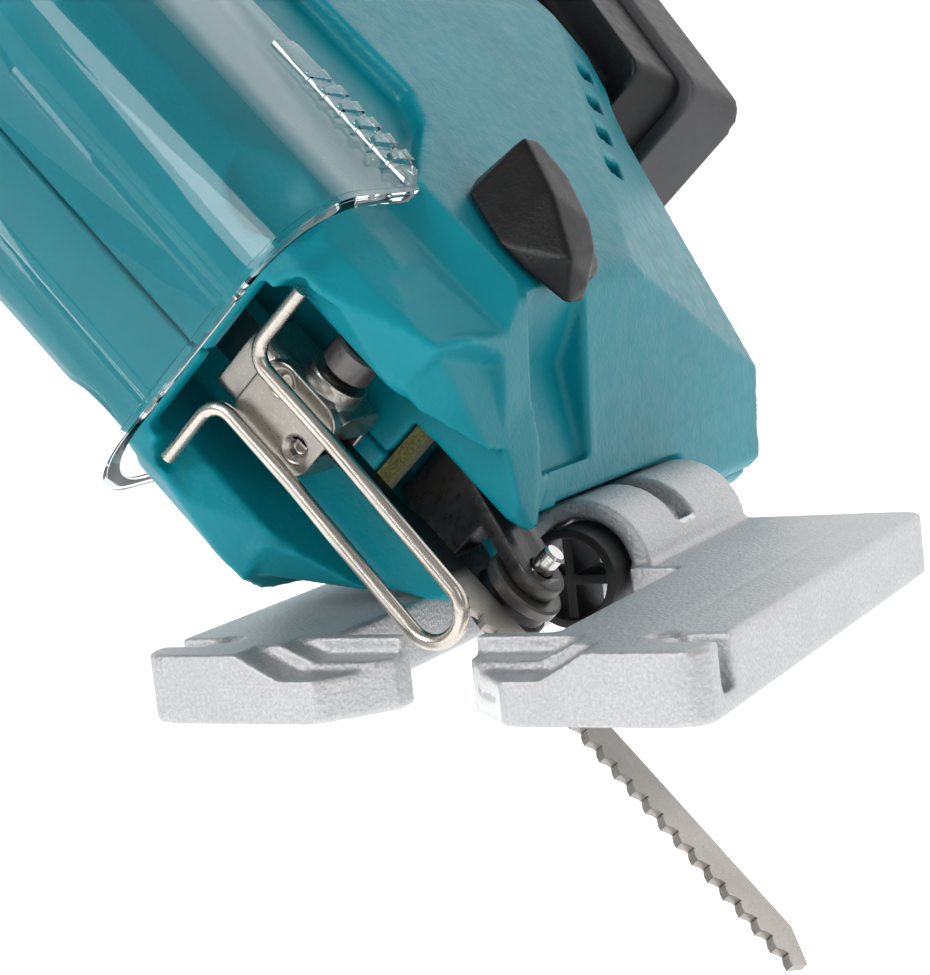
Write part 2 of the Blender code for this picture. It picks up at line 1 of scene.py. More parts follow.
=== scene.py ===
"""Looks of the cordless jigsaw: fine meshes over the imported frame, procedural materials, studio light.

Millimetre coordinates are used for modelling. The base frame has X across, Y back from the front edge
of the base and Z up from the sole; the tool frame leans over the bevel axis with the body.
"""

import json
import math

import bmesh
import bpy
from mathutils import Matrix, Vector


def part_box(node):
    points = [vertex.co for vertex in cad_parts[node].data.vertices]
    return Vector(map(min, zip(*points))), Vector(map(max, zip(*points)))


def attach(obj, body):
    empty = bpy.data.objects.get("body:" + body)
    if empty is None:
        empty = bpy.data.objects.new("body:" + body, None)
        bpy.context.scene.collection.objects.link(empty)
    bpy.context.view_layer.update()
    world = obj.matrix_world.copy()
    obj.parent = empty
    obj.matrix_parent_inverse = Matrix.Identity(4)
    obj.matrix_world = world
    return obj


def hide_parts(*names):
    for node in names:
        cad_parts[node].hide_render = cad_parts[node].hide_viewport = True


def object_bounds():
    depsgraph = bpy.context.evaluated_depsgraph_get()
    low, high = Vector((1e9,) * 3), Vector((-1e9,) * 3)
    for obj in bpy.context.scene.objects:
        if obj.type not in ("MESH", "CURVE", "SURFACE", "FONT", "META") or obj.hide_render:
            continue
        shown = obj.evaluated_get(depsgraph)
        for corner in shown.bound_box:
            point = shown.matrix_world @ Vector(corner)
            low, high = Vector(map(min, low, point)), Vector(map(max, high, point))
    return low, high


MM = 0.001
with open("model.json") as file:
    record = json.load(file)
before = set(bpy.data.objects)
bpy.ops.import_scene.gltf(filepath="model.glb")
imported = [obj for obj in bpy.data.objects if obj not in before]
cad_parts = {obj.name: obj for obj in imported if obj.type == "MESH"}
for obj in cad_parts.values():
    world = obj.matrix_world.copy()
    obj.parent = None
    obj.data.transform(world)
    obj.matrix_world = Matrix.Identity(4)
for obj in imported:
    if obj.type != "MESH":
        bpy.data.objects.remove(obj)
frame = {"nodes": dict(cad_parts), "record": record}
cad_low, cad_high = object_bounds()
NODES = frame["nodes"]

REST_BEVEL = math.radians(40.5)
BEVEL_HEIGHT = 8.1
FRONT_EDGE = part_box("base_plate")[0].y
BASE_FRAME = Matrix.Translation((0, FRONT_EDGE, 0)) @ Matrix.Scale(MM, 4)
TOOL_FRAME = (
    Matrix.Translation((0, FRONT_EDGE, BEVEL_HEIGHT * MM))
    @ Matrix.Rotation(-REST_BEVEL, 4, "Y")
    @ Matrix.Scale(MM, 4)
)

# Driving dimensions in the tool frame: X to the side, Y back from the base's front edge, Z up from
# the bevel axis. OUTSIDE is past any side face, for cutters that have to run through one.
BODY_HALF = 28.0
NOSE_FRONT = 13.5
KEEL = 4.0
TOP = 184.0
OUTSIDE = 40.0
ROD_HEIGHT = 57.0
GEAR_HEIGHT = 82.0
KNOB_PIVOT = (0, 53, 37)
CLAMP_SCREW = (0, 23.5, 36)
ROLLER_AXLE = (0, 33.2, 1.2)
FORK_PIVOT = (0, 42, 20.5)
BATTERY_FOOT = (0, 174, 57)
BATTERY_LEAN = math.radians(-25)


# --- Material building blocks ----------------------------------------------------------------------

def new_material(name):
    material = bpy.data.materials.new(name)
    material.use_nodes = True
    tree = material.node_tree
    return material, tree, tree.nodes["Principled BSDF"]


def add_node(tree, kind, **settings):
    """Adds a shader node and sets its inputs by name."""
    node = tree.nodes.new(kind)
    for key, value in settings.items():
        node.inputs[key].default_value = value
    return node


def object_coords(tree, scale=(1.0, 1.0, 1.0)):
    """A piece's own coordinates in millimetres, squeezed along an axis by its scale."""
    coords = tree.nodes.new("ShaderNodeTexCoord")
    mapping = tree.nodes.new("ShaderNodeMapping")
    mapping.inputs["Scale"].default_value = [value / MM for value in scale]
    tree.links.new(coords.outputs["Object"], mapping.inputs["Vector"])
    return mapping.outputs["Vector"]


def noise(tree, vector, scale, detail=4.0, roughness=0.5):
    node = add_node(tree, "ShaderNodeTexNoise", Scale=scale, Detail=detail, Roughness=roughness)
    tree.links.new(vector, node.inputs["Vector"])
    return node.outputs["Fac"]


def cells(tree, vector, scale, feature="F1"):
    node = add_node(tree, "ShaderNodeTexVoronoi", Scale=scale)
    node.feature = feature
    tree.links.new(vector, node.inputs["Vector"])
    return node.outputs["Distance"]


def ramp(tree, value, stops):
    """Colours a value by stops of (position, colour)."""
    node = tree.nodes.new("ShaderNodeValToRGB")
    elements = node.color_ramp.elements
    while len(elements) < len(stops):
        elements.new(0.5)
    for element, (position, color) in zip(elements, stops):
        element.position = position
        element.color = (*color, 1.0)
    tree.links.new(value, node.inputs["Fac"])
    return node.outputs["Color"]


def spread(tree, value, low, high, start=0.3, end=0.7):
    """Maps a value that runs from start to end onto low to high."""
    node = tree.nodes.new("ShaderNodeMapRange")
    for name, level in (("From Min", start), ("From Max", end), ("To Min", low), ("To Max", high)):
        node.inputs[name].default_value = level
    tree.links.new(value, node.inputs["Value"])
    return node.outputs["Result"]


def add_bump(tree, shader, height, distance, strength=1.0, after=None):
    node = add_node(tree, "ShaderNodeBump", Strength=strength, Distance=distance * MM)
    tree.links.new(height, node.inputs["Height"])
    if after:
        tree.links.new(after, node.inputs["Normal"])
    tree.links.new(node.outputs["Normal"], shader.inputs["Normal"])
    return node.outputs["Normal"]


def edge_share(tree, low=0.51, high=0.58):
    """How far a point is on a worn convex edge."""
    geometry = tree.nodes.new("ShaderNodeNewGeometry")
    return spread(tree, geometry.outputs["Pointiness"], 0.0, 1.0, low, high)


def mix_colors(tree, share, first, second):
    node = tree.nodes.new("ShaderNodeMix")
    node.data_type = "RGBA"
    tree.links.new(share, node.inputs["Factor"])
    for value, socket in ((first, node.inputs[6]), (second, node.inputs[7])):
        if isinstance(value, tuple):
            socket.default_value = (*value, 1.0)
        else:
            tree.links.new(value, socket)
    return node.outputs[2]


def tint(color, factor):
    return tuple(min(1.0, channel * factor) for channel in color)


# --- Materials -------------------------------------------------------------------------------------

def grained_plastic(name, color, roughness, grain, depth, specular=0.5):
    """Moulded plastic with spark-eroded leather grain and slightly polished edges."""
    material, tree, shader = new_material(name)
    place = object_coords(tree)
    blotch = noise(tree, place, 0.05, 3.0)
    base = ramp(tree, blotch, ((0.3, tint(color, 0.93)), (0.7, tint(color, 1.07))))
    worn = mix_colors(tree, edge_share(tree), base, tint(color, 1.25))
    tree.links.new(worn, shader.inputs["Base Color"])
    tree.links.new(spread(tree, noise(tree, place, 0.4), roughness - 0.05, roughness + 0.07),
                   shader.inputs["Roughness"])
    shader.inputs["Specular IOR Level"].default_value = specular
    pebbles = cells(tree, place, grain, "SMOOTH_F1")
    first = add_bump(tree, shader, pebbles, depth, 0.8)
    add_bump(tree, shader, noise(tree, place, grain * 2.5, 2.0), depth * 0.5, 0.6, after=first)
    return material


def cast_aluminium(name):
    """Blasted die casting: bright uneven grain, with faint flow marks and polished edges."""
    material, tree, shader = new_material(name)
    shader.inputs["Metallic"].default_value = 0.85
    place = object_coords(tree)
    fine = noise(tree, place, 2.4, 6.0, 0.7)
    flow = noise(tree, place, 0.09, 4.0, 0.6)
    shades = ((0.3, (0.44, 0.44, 0.45)), (0.5, (0.6, 0.6, 0.61)), (0.7, (0.8, 0.8, 0.8)))
    grain = ramp(tree, fine, shades)
    stained = mix_colors(tree, spread(tree, flow, 0.0, 0.45, 0.35, 0.7), grain, (0.52, 0.53, 0.55))
    bright = mix_colors(tree, edge_share(tree, 0.52, 0.62), stained, (0.86, 0.86, 0.85))
    tree.links.new(bright, shader.inputs["Base Color"])
    tree.links.new(spread(tree, fine, 0.36, 0.6), shader.inputs["Roughness"])
    first = add_bump(tree, shader, cells(tree, place, 1.5, "F1"), 0.10, 0.7)
    add_bump(tree, shader, fine, 0.14, 0.8, after=first)
    return material


def steel(name, color, roughness, streak=(1.0, 1.0, 0.06)):
    """Drawn or ground steel, with streaks along the axis whose streak value is small."""
    material, tree, shader = new_material(name)
    shader.inputs["Metallic"].default_value = 1.0
    place = object_coords(tree, streak)
    lines = noise(tree, place, 3.0, 5.0, 0.6)
    cloud = noise(tree, object_coords(tree), 0.12, 4.0)
    base = ramp(tree, cloud, ((0.3, tint(color, 0.85)), (0.7, tint(color, 1.1))))
    tree.links.new(mix_colors(tree, spread(tree, lines, 0.0, 0.5), base, tint(color, 0.75)),
                   shader.inputs["Base Color"])
    tree.links.new(spread(tree, lines, roughness - 0.06, roughness + 0.1), shader.inputs["Roughness"])
    add_bump(tree, shader, lines, 0.02, 0.6)
    return material


def darken_above(material, level, color):
    """Paints a piece above a height in its own frame, as on the shank end of a blade."""
    tree = material.node_tree
    shader = tree.nodes["Principled BSDF"]
    split = tree.nodes.new("ShaderNodeSeparateXYZ")
    tree.links.new(object_coords(tree), split.inputs["Vector"])
    share = spread(tree, split.outputs["Z"], 0.0, 0.94, level, level + 1.5)
    bare = shader.inputs["Base Color"].links[0].from_socket
    tree.links.new(mix_colors(tree, share, bare, color), shader.inputs["Base Color"])


def black_oxide(name):
    """Blackened steel, worn grey along its edges."""
    material, tree, shader = new_material(name)
    shader.inputs["Metallic"].default_value = 0.7
    place = object_coords(tree)
    cloud = noise(tree, place, 0.8, 4.0)
    base = ramp(tree, cloud, ((0.3, (0.012, 0.012, 0.014)), (0.7, (0.035, 0.034, 0.036))))
    worn = mix_colors(tree, edge_share(tree), base, (0.16, 0.155, 0.15))
    tree.links.new(worn, shader.inputs["Base Color"])
    tree.links.new(spread(tree, cloud, 0.24, 0.42), shader.inputs["Roughness"])
    add_bump(tree, shader, noise(tree, place, 3.0), 0.02, 0.5)
    return material


def clear_cover(name):
    """Clear polycarbonate, lightly hazed where dust has rubbed it."""
    material, tree, shader = new_material(name)
    shader.inputs["Base Color"].default_value = (0.97, 0.99, 0.99, 1.0)
    shader.inputs["Transmission Weight"].default_value = 1.0
    shader.inputs["IOR"].default_value = 1.3
    haze = noise(tree, object_coords(tree), 0.15, 5.0, 0.6)
    tree.links.new(spread(tree, haze, 0.0, 0.02), shader.inputs["Roughness"])
    add_bump(tree, shader, noise(tree, object_coords(tree), 0.06, 2.0), 0.25, 0.35)
    return material


def rubber(name, color):
    """Soft grip rubber with a pebbled surface."""
    material, tree, shader = new_material(name)
    place = object_coords(tree)
    base = ramp(tree, noise(tree, place, 0.3), ((0.3, tint(color, 0.8)), (0.7, tint(color, 1.3))))
    tree.links.new(base, shader.inputs["Base Color"])
    tree.links.new(spread(tree, noise(tree, place, 1.0), 0.62, 0.8), shader.inputs["Roughness"])
    add_bump(tree, shader, cells(tree, place, 1.2), 0.08, 0.8)
    return material


def felt(name):
    """Yellow-green felt, dark between its fibres."""
    material, tree, shader = new_material(name)
    place = object_coords(tree)
    fibres = noise(tree, place, 2.5, 8.0, 0.75)
    tree.links.new(ramp(tree, fibres, ((0.35, (0.02, 0.02, 0.012)), (0.65, (0.3, 0.28, 0.03)))),
                   shader.inputs["Base Color"])
    shader.inputs["Roughness"].default_value = 0.95
    shader.inputs["Sheen Weight"].default_value = 0.4
    add_bump(tree, shader, fibres, 0.4, 1.0)
    return material


def coated(name, color, roughness):
    """Smooth lacquer, as on a circuit board."""
    material, tree, shader = new_material(name)
    place = object_coords(tree)
    base = ramp(tree, noise(tree, place, 0.5), ((0.3, tint(color, 0.85)), (0.7, tint(color, 1.15))))
    tree.links.new(base, shader.inputs["Base Color"])
    tree.links.new(spread(tree, noise(tree, place, 2.0), roughness - 0.05, roughness + 0.08),
                   shader.inputs["Roughness"])
    add_bump(tree, shader, noise(tree, place, 2.0), 0.03, 0.5)
    return material


BLADE_COATED_FROM = 6.0

TEAL = grained_plastic("teal_plastic_look", (0.0, 0.25, 0.312), 0.38, 1.5, 0.07, 0.28)
BLACK = grained_plastic("black_plastic_look", (0.008, 0.008, 0.009), 0.38, 2.2, 0.03, 0.3)
GREY = grained_plastic("grey_plastic_look", (0.065, 0.062, 0.066), 0.5, 2.0, 0.04)
CAST = cast_aluminium("cast_aluminium_look")
WIRE = steel("drawn_wire_look", (0.70, 0.65, 0.58), 0.24)
PRESSED = steel("pressed_steel_look", (0.50, 0.465, 0.42), 0.3, (1.0, 1.0, 1.0))
BLADE_STEEL = steel("blade_steel_look", (0.45, 0.42, 0.39), 0.34, (0.1, 1.0, 1.0))
darken_above(BLADE_STEEL, BLADE_COATED_FROM, (0.02, 0.02, 0.021))
BRIGHT = steel("bright_steel_look", (0.72, 0.71, 0.69), 0.16)
OXIDE = black_oxide("black_oxide_look")
COVER = clear_cover("clear_polycarbonate_look")
GRIP = rubber("grip_rubber_look", (0.02, 0.02, 0.021))
FELT = felt("felt_look")
BOARD = coated("board_look", (0.02, 0.14, 0.06), 0.45)
COPPER = steel("copper_look", (0.62, 0.3, 0.15), 0.35)
LOOKS = {
    "teal_plastic": TEAL, "black_plastic": BLACK, "grey_plastic": GREY, "grip_rubber": GRIP,
    "cast_aluminium": CAST, "bright_steel": BRIGHT, "black_steel": OXIDE, "copper": COPPER,
    "felt": FELT, "board": BOARD, "clear_plastic": COVER,
}


def dress_frame():
    """Every carried-over node takes the finish of its record slot."""
    for row in frame["record"]["subparts"]:
        node = NODES[row["node"]]
        node.data.materials.clear()
        node.data.materials.append(LOOKS[row["material_slot"]])


# --- Shapes ----------------------------------------------------------------------------------------

PLANES = {"x": (1, 2, 0), "y": (0, 2, 1), "z": (0, 1, 2)}


def prism(outline, axis, low, high):
    """Extrudes a closed outline along an axis. The outline's two values follow X, Y, Z order."""
    bm = bmesh.new()
    first, second, along = PLANES[axis]
    rings = []
    for level in (low, high):
        ring = []
        for point in outline:
            place = [0.0, 0.0, 0.0]
            place[first], place[second], place[along] = point[0], point[1], level
            ring.append(bm.verts.new(place))
        bm.faces.new(ring)
        rings.append(ring)
    for index in range(len(outline)):
        after = (index + 1) % len(outline)
        bm.faces.new((rings[0][index], rings[0][after], rings[1][after], rings[1][index]))
    return bm


def block(low, high):
    corners = [(low[0], low[1]), (high[0], low[1]), (high[0], high[1]), (low[0], high[1])]
    return prism(corners, "z", low[2], high[2])


def turned(profile, axis, centre, segments=48):
    """Spins a closed profile of (radius, level along the axis) about an axis through a centre."""
    bm = bmesh.new()
    rings = []
    first, second, along = PLANES[axis]
    for radius, level in profile:
        ring = []
        for step in range(segments if radius > 0 else 1):
            angle = 2 * math.pi * step / segments
            place = list(centre)
            place[first] += radius * math.cos(angle)
            place[second] += radius * math.sin(angle)
            place[along] = level
            ring.append(bm.verts.new(place))
        rings.append(ring)
    for index, ring in enumerate(rings):
        other = rings[(index + 1) % len(rings)]
        if len(ring) == 1 and len(other) == 1:
            continue
        for step in range(segments):
            after = (step + 1) % segments
            corners = [ring[step % len(ring)], ring[after % len(ring)]]
            corners += [other[after % len(other)], other[step % len(other)]]
            bm.faces.new(list(dict.fromkeys(corners)))
    return bm


def rod(radius, axis, centre, low, high):
    return turned([(0, low), (radius, low), (radius, high), (0, high)], axis, centre)


def tube(outer, inner, axis, centre, low, high):
    return turned([(inner, low), (outer, low), (outer, high), (inner, high)], axis, centre)


def arc_points(centre, radius, start, end, steps):
    points = []
    for step in range(steps + 1):
        angle = math.radians(start + (end - start) * step / steps)
        points.append((centre[0] + radius * math.cos(angle), centre[1] + radius * math.sin(angle)))
    return points


def rounded(low, high, radius, steps=6):
    """Outline of a rectangle with round corners."""
    points = []
    corners = ((high[0] - radius, high[1] - radius, 0), (low[0] + radius, high[1] - radius, 90),
               (low[0] + radius, low[1] + radius, 180), (high[0] - radius, low[1] + radius, 270))
    for x, y, start in corners:
        points += arc_points((x, y), radius, start, start + 90, steps)
    return points


def mirrored(half):
    """Closes a right-hand half outline with its mirror image."""
    return list(half) + [(-x, y) for x, y in reversed(half) if x > 0]


def hull(points):
    """Convex solid through a list of points."""
    bm = bmesh.new()
    for point in points:
        bm.verts.new(point)
    bmesh.ops.convex_hull(bm, input=bm.verts)
    return bm


def flipped(points, side):
    """Puts points of the right-hand side on the side given as 1 or -1."""
    return [(side * x, y, z) for x, y, z in points]


def side_range(side, near, far):
    """The lower and the higher X of a stretch on one side."""
    return sorted((side * near, side * far))


def side_block(side, low, high):
    """Block on one side, from its right-hand corners."""
    near, far = side_range(side, low[0], high[0])
    return block((near, *low[1:]), (far, *high[1:]))


def ellipsoid(centre, radii):
    bm = bmesh.new()
    bmesh.ops.create_uvsphere(bm, u_segments=32, v_segments=20, radius=1.0)
    bmesh.ops.scale(bm, verts=bm.verts, vec=radii)
    bmesh.ops.translate(bm, verts=bm.verts, vec=centre)
    return bm


def temporary(bm):
    """Object that holds a shape while modifiers work on it."""
    bmesh.ops.recalc_face_normals(bm, faces=bm.faces)
    mesh = bpy.data.meshes.new("draft")
    bm.to_mesh(mesh)
    bm.free()
    obj = bpy.data.objects.new("draft", mesh)
    bpy.context.scene.collection.objects.link(obj)
    return obj


OPERATIONS = {"cut": "DIFFERENCE", "add": "UNION", "keep": "INTERSECT"}
SHARP_CORNER = math.radians(35)


def carved(shape, *steps, voxel=0.0, relax=3, share=1.0, edge=0.0):
    """Mesh in millimetres of a shape after (operation, shape) steps, with its edges softened.

    A voxel size blends the edges as in a casting, and share thins the result out. An edge width
    chamfers them instead.
    """
    body = temporary(shape)
    helpers = []
    for operation, other in steps:
        helper = temporary(other)
        helpers.append(helper)
        modifier = body.modifiers.new("step", "BOOLEAN")
        modifier.operation = OPERATIONS[operation]
        modifier.solver = "EXACT"
        modifier.object = helper
    if voxel:
        remesh = body.modifiers.new("blend", "REMESH")
        remesh.mode = "VOXEL"
        remesh.voxel_size = voxel
        relaxing = body.modifiers.new("relax", "SMOOTH")
        relaxing.factor = 0.5
        relaxing.iterations = relax
        thinning = body.modifiers.new("thin", "DECIMATE")
        thinning.ratio = share
    if edge:
        chamfer = body.modifiers.new("edge", "BEVEL")
        chamfer.width = edge
        chamfer.segments = 3
        chamfer.limit_method = "ANGLE"
        chamfer.angle_limit = SHARP_CORNER
    graph = bpy.context.evaluated_depsgraph_get()
    mesh = bpy.data.meshes.new_from_object(body.evaluated_get(graph))
    for obj in (body, *helpers):
        draft = obj.data
        bpy.data.objects.remove(obj)
        bpy.data.meshes.remove(draft)
    return mesh


def show(name, mesh, place, material, body, nodes, smooth_angle=None, upright=False):
    """Puts a finished millimetre mesh into its frame, riding on a body in place of CAD nodes.

    An upright piece has its own axes along the world's, so that its box is as tight as the CAD's.
    """
    mesh.transform(place if upright else Matrix.Scale(MM, 4))
    mesh.name = name
    mesh.materials.clear()
    mesh.materials.append(material)
    mesh.shade_smooth()
    if smooth_angle:
        mesh.set_sharp_from_angle(angle=math.radians(smooth_angle))
    obj = bpy.data.objects.new(name, mesh)
    bpy.context.scene.collection.objects.link(obj)
    if not upright:
        obj.matrix_world = place @ Matrix.Scale(1 / MM, 4)
    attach(obj, body)
    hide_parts(*nodes)


# --- Housing ---------------------------------------------------------------------------------------

SPLIT = 0.15
SIDE_PANEL = 24.8
SLOT_HALF = 13.5
SCREW_SEATS = ((64, 84), (112, 84), (58, 36))
VENTS = 4
VENT_PITCH = (8.9, 7.6)


def side_profile():
    """Silhouette seen from the side, as (back, up) points."""
    nose = [(NOSE_FRONT, 46), (NOSE_FRONT, 104), (15.2, 116), (18, 127), (24, 148), (29, 160), (36, 171)]
    nose += [(47, 180), (62, TOP)]
    handle_top = [(118, TOP), (137, 181), (150, 173), (158, 160), (161, 146)]
    rear = [(161, 112), (143, 60), (138, 40), (129, KEEL)]
    keel = [(93, KEEL), (93, 6), (46, 6), (46, KEEL)]
    cheek = [(38, KEEL), (34, 5.5), (32.6, 9), (32.6, 24), (19.5, 27)]
    return nose + handle_top + rear + keel + cheek


def front_profile():
    """Silhouette seen from the front, as (side, up) points: a keel, straight sides and a slim handle."""
    half = [(3.0, 3.6), (7.5, 9.1), (27.0, 28.6), (BODY_HALF, 31), (BODY_HALF, 88), (26.5, 94), (23, 101)]
    half += [(17.5, 112), (16.5, 118), (16.5, 174), (15.4, 178), (13, 181), (8, TOP)]
    return mirrored(half)


def plan_profile():
    """Silhouette seen from above, as (side, back) points: the nose narrows towards the front."""
    half = [(14, NOSE_FRONT), (18, 15), (21.5, 18.5), (24, 25), (24, 34), (BODY_HALF, 39), (BODY_HALF, 140)]
    half.append((20, 162))
    return mirrored(half)


def rear_facet(side):
    """Half space behind the plane where the body narrows round the motor, on one side."""
    normal = Vector((side * 4.6, 1.0, -1.1)).normalized()
    bm = block((-150, -150, 0), (150, 150, 300))
    turn = Vector((0, 0, 1)).rotation_difference(normal).to_matrix().to_4x4()
    place = Matrix.Translation((side * BODY_HALF, 80.0, 32.0))
    bmesh.ops.transform(bm, matrix=place @ turn, verts=bm.verts)
    return bm


def cheek_lobe(side):
    """Rounded wedge beside the blade slot, down to the keel."""
    return hull(flipped([
        (22, 19.4, 29), (15, 18.6, 27.4), (15, 19, 34), (22, 19, 34), (7, 32.6, 24), (7, 33, 7), (7.2, 35, 5),
        (9, 40, 9.8), (9, 45, 10.6), (20, 45, 22), (24, 30, 30)], side))


def mouth_flare(side):
    """Slope from the nose's front face into the blade slot."""
    return hull(flipped([
        (13, 19.4, 46.8), (17.5, 12, 46.8), (23, 12, 30), (23, 12, 20), (13, 19.4, 20), (0.1, 19.4, 46.8),
        (0.1, 12, 46.8), (0.1, 12, 20), (0.1, 19.4, 20)], side))


def chin_cut(side):
    """Slanted face below the cover, outside the mouth."""
    return hull(flipped([
        (40, 22, 39), (23, 12.5, 39), (23.5, 12.5, 29), (40, 22, 22), (21.6, 17.5, 29), (23.0, 24, 39),
        (40, 33, 39), (24.8, 33, 39), (24.0, 33, 26)], side))


def lower_recess(side):
    """Sunken face along the lower edge, behind the shoulder."""
    return hull(flipped([
        (12.6, 61, 14.2), (25.4, 61, 27), (30, 61, 28), (30, 61, 10), (10, 140, 11.8), (25.4, 140, 27),
        (40, 140, 28), (40, 140, 0), (10, 61, 11.8), (10, 61, 0), (10, 140, 0)], side))


def shoulder_notch(side):
    """Step under the shoulder, above the base's drum."""
    outline = [(29, 30.2), (16, 24.5), (8.5, 12.5), (OUTSIDE, -5), (OUTSIDE, 30.2)]
    return prism([(side * across, up) for across, up in outline], "y", 41, 59)


def side_panel(side):
    """Flat beside the cover at rest, and its run-out behind the shoulder."""
    outline = [(37, 49), (56, 61), (61, 68), (60, 92), (43.6, 92), (43.6, 108), (20, 108), (20, 49)]
    return prism(outline, "x", *side_range(side, SIDE_PANEL, OUTSIDE))


def housing_cavities():
    """Rooms for the gear, the motor, the slider, the blade, the retainer and the switch."""
    return [
        rod(23.0, "y", (0, 0, GEAR_HEIGHT), 36.0, 58.5),
        rod(7.0, "y", (0, 0, ROD_HEIGHT), 37.5, 54.0),
        rod(19.2, "y", (0, 0, ROD_HEIGHT), 52.0, 122.0),
        block((-SLOT_HALF, 16.4, -10), (SLOT_HALF, 32.3, 82)),
        block((-13.7, 18.6, 60), (13.7, 37.0, 122)),
        block((-13.6, 0, -10), (13.6, 18.8, 49)),
        block((-6.5, 30, -10), (6.5, 47.5, 27)),
        block((-11.5, 66, 152), (11.5, 138, 176)),
    ]


def vent_slots(side):
    """Louvre slots up the rear, each a pitch further back than the one below."""
    slots = []
    for row in range(VENTS):
        back = 103.5 + VENT_PITCH[0] * row
        low = 49.8 + VENT_PITCH[1] * row
        outline = [(back, low), (back + 8.5, low - 0.6), (back + 12, low + 3.4), (back + 4.6, low + 4.2)]
        slots.append(prism(outline, "x", *side_range(side, 15, OUTSIDE)))
    return slots


def housing_openings(side):
    """The guard's pocket, the bevel bolt's bore, the trigger's opening and the lock-off button's bore."""
    guard_pocket = rod(1.6, "x", (0, 15.6, 44.5), *side_range(side, 8, 17))
    bevel_bolt_bore = rod(3.4, "z", (0, 70, 0), 5, 24)
    trigger_opening = block((-8.4, 66.0, 140), (8.4, 88.0, 161))
    lock_off_bore = rod(4.5, "x", (0, 72, 166), -30, 30)
    return [guard_pocket, bevel_bolt_bore, trigger_opening, lock_off_bore]


def side_holes(side):
    """The knob's bore on one side, and the seats of the body screws on the other."""
    if side > 0:
        return [rod(4.6, "x", KNOB_PIVOT, 18, OUTSIDE)]
    return [rod(3.8, "x", (0, back, up), -OUTSIDE, -25.4) for back, up in SCREW_SEATS]


def housing_shell(side):
    """Half of the body: three silhouettes kept in common, a cheek added, then everything cut out of it."""
    shape = prism(side_profile(), "x", *side_range(side, SPLIT, 60.0))
    finger_hole = prism(rounded((60, 110), (134, 150), 11), "x", -OUTSIDE, OUTSIDE)
    drum_seat = rod(10.8, "y", (0, 0, 0), 47, 93.1)
    bay_outline = [(161.1, 112), (137, 60), (132, 30), (128, KEEL), (175, KEEL), (175, 112)]
    battery_bay = prism(bay_outline, "x", -22.6, 22.6)
    cover_dimple = ellipsoid((side * 25, 16.5, 56), (9.0, 6.0, 8.5))
    cuts = [rear_facet(side), finger_hole, battery_bay, drum_seat, side_panel(side)]
    cuts += [mouth_flare(side), chin_cut(side), lower_recess(side), shoulder_notch(side), cover_dimple]
    cuts += housing_cavities() + vent_slots(side) + housing_openings(side) + side_holes(side)
    steps = [("keep", prism(front_profile(), "y", -10, 200)), ("keep", prism(plan_profile(), "z", -20, 220))]
    steps += [("add", cheek_lobe(side))] + [("cut", cut) for cut in cuts]
    return carved(shape, *steps, voxel=0.55, relax=3, share=0.45)


def make_housing():
    for name, node, side in (("housing_left_shell", "housing_left", 1),
                             ("housing_right_shell", "housing_right", -1)):
        show(name, housing_shell(side), TOOL_FRAME, TEAL, "housing", [node], upright=True)


# --- Cover and guard -------------------------------------------------------------------------------

COVER_LOW = 48.5
COVER_HIGH = 110.0
COVER_BACK = 42.4
COVER_CORNER = 13
THUMB_RIBS = 6
RIB_PITCH = 3.3


def cover_section(half, front):
    """Half outline of the cover seen from above, from its back edge round the corner."""
    corner = arc_points((half - COVER_CORNER, front + COVER_CORNER), COVER_CORNER, 0, -90, 16)
    return [(half, COVER_BACK)] + corner


def cover_wall(outer, inner, low, high):
    """U-shaped wall between two sections."""
    outline = mirrored(outer) + [(-x, y) for x, y in inner] + list(reversed(inner))
    return prism(outline, "z", low, high)


def cover_trim(side):
    """Thumb ribs, the edge strip that they stand on, and the long crease on the front."""
    trim = []
    for step in range(THUMB_RIBS):
        low = COVER_LOW + 5.5 + RIB_PITCH * step
        rib = [(36.5, low), (41.8, low - 0.6), (42.2, low + 1.5), (37.2, low + 1.2)]
        trim.append(prism(rib, "x", *side_range(side, 26.4, 28.4 - 0.12 * step)))
    trim.append(side_block(side, (26.5, 36.8, 49), (27.5, 42.3, 78)))
    crease = [(8.0, 9.4), (9.2, 8.7), (10.4, 9.5), (9.2, 11)]
    trim.append(prism([(side * x, y) for x, y in crease], "z", 49.5, 92))
    return trim


def make_cover():
    """Clear U-shaped cover with a rim round its lower edge."""
    steps = [("add", shape) for side in (1, -1) for shape in cover_trim(side)]
    rim = cover_wall(cover_section(27.5, 8.9), cover_section(25.7, 10.8), COVER_LOW + 0.1, COVER_LOW + 1.1)
    steps.append(("add", rim))
    wall = cover_wall(cover_section(27.0, 9.3), cover_section(25.6, 10.9), COVER_LOW, COVER_HIGH)
    mesh = carved(wall, *steps, edge=0.25)
    show("dust_cover_shell", mesh, TOOL_FRAME, COVER, "cover", ["dust_cover"], 40)


def swept(points, radius):
    """Round bar along a path."""
    curve = bpy.data.curves.new("path", "CURVE")
    curve.dimensions = "3D"
    curve.bevel_depth = radius
    curve.bevel_resolution = 6
    curve.use_fill_caps = True
    spline = curve.splines.new("POLY")
    spline.points.add(len(points) - 1)
    for point, place in zip(spline.points, points):
        point.co = (*place, 1.0)
    obj = bpy.data.objects.new("path", curve)
    bpy.context.scene.collection.objects.link(obj)
    graph = bpy.context.evaluated_depsgraph_get()
    mesh = bpy.data.meshes.new_from_object(obj.evaluated_get(graph))
    bpy.data.objects.remove(obj)
    bpy.data.curves.remove(curve)
    return mesh


WIRE_RADIUS = 1.05
GUARD_BACK = 15.5
GUARD_TOP = 44.5
GUARD_BEND = 3.2
GUARD_HALF = 4.1
GUARD_LEAN_START = 29.0
GUARD_LEAN = 0.07


